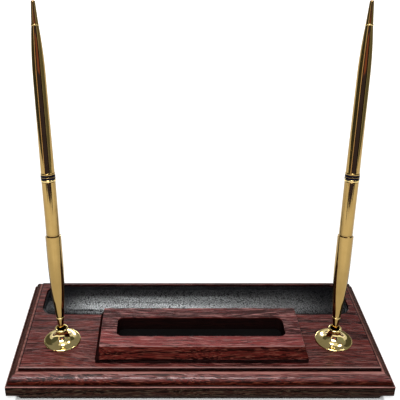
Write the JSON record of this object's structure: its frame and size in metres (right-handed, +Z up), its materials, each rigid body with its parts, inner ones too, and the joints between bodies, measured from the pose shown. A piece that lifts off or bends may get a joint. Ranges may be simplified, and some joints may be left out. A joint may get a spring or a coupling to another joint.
{
  "type": "pen and phone holder",
  "caption": "Moulded dark-stained wooden desk base with a leather-lined tray, a raised slotted block that stands a phone, and brass sockets holding slim polished twist pens.",
  "frame": {"origin": "on the desk under the middle of the base, on the underside of its felt pad", "axes": "+X along the base to the right as seen from the pictured side, +Y from that side towards the tray, +Z up"},
  "size_m": [0.222, 0.103, 0.2097],
  "materials": {
    "wood": "open-grained oak, dark mahogany stain, satin lacquer",
    "leather": "black pebbled leather",
    "felt": "dark brown felt",
    "brass": "polished",
    "gold": "polished gold plate",
    "black_enamel": "gloss black enamel",
    "steel": "zinc plated",
    "black_plastic": "moulded"
  },
  "bodies": {
    "base": {"base_board": "wood", "felt_pad": "felt", "tray_liner": "leather", "phone_block": "wood", "slot_pad": "leather", "block_screws": "steel", "left_socket": "brass", "right_socket": "brass", "socket_washers": "steel", "socket_nuts": "steel"},
    "left_pen": {"left_pen_nose_cone": "gold", "left_pen_nose_ring": "gold", "left_pen_lower_barrel": "gold", "left_pen_middle_sleeve": "gold", "left_pen_lip_ring": "gold", "left_pen_black_rings": "black_enamel", "left_pen_hairline_ring": "gold", "left_pen_twist_tube": "brass"},
    "left_pen_top": {"left_pen_upper_barrel": "gold", "left_pen_tail_ring": "gold", "left_pen_tail_cap": "gold"},
    "left_refill": {"left_pen_refill": "steel", "left_pen_refill_driver": "black_plastic"},
    "right_pen": {"right_pen_nose_cone": "gold", "right_pen_nose_ring": "gold", "right_pen_lower_barrel": "gold", "right_pen_middle_sleeve": "gold", "right_pen_lip_ring": "gold", "right_pen_black_rings": "black_enamel", "right_pen_hairline_ring": "gold", "right_pen_twist_tube": "brass"},
    "right_pen_top": {"right_pen_upper_barrel": "gold", "right_pen_tail_ring": "gold", "right_pen_tail_cap": "gold"},
    "right_refill": {"right_pen_refill": "steel", "right_pen_refill_driver": "black_plastic"}
  },
  "joints": [
    {"name": "left_pen_lift", "type": "slide", "parent": "base", "child": "left_pen", "axis": [-0.0418, 0.2077, 0.9773], "range_m": [0, 0.06]},
    {"name": "left_pen_twist", "type": "hinge", "parent": "left_pen", "child": "left_pen_top", "pos_m": [-0.08642, 0.00248, 0.11915], "axis": [-0.0418, 0.2077, 0.9773], "range_deg": [0, 180]},
    {"name": "left_refill_feed", "type": "slide", "parent": "left_pen", "child": "left_refill", "axis": [-0.0418, 0.2077, 0.9773], "range_m": [0, 0.0036]},
    {"name": "right_pen_lift", "type": "slide", "parent": "base", "child": "right_pen", "axis": [0.0418, 0.2077, 0.9773], "range_m": [0, 0.06]},
    {"name": "right_pen_twist", "type": "hinge", "parent": "right_pen", "child": "right_pen_top", "pos_m": [0.08642, 0.00248, 0.11915], "axis": [0.0418, 0.2077, 0.9773], "range_deg": [0, 180]},
    {"name": "right_refill_feed", "type": "slide", "parent": "right_pen", "child": "right_refill", "axis": [0.0418, 0.2077, 0.9773], "range_m": [0, 0.0036]}
  ],
  "couplings": [
    {"joint": "left_refill_feed", "follows": "left_pen_twist", "m_per_rad": 0.0011141},
    {"joint": "right_refill_feed", "follows": "right_pen_twist", "m_per_rad": 0.0011141}
  ]
}
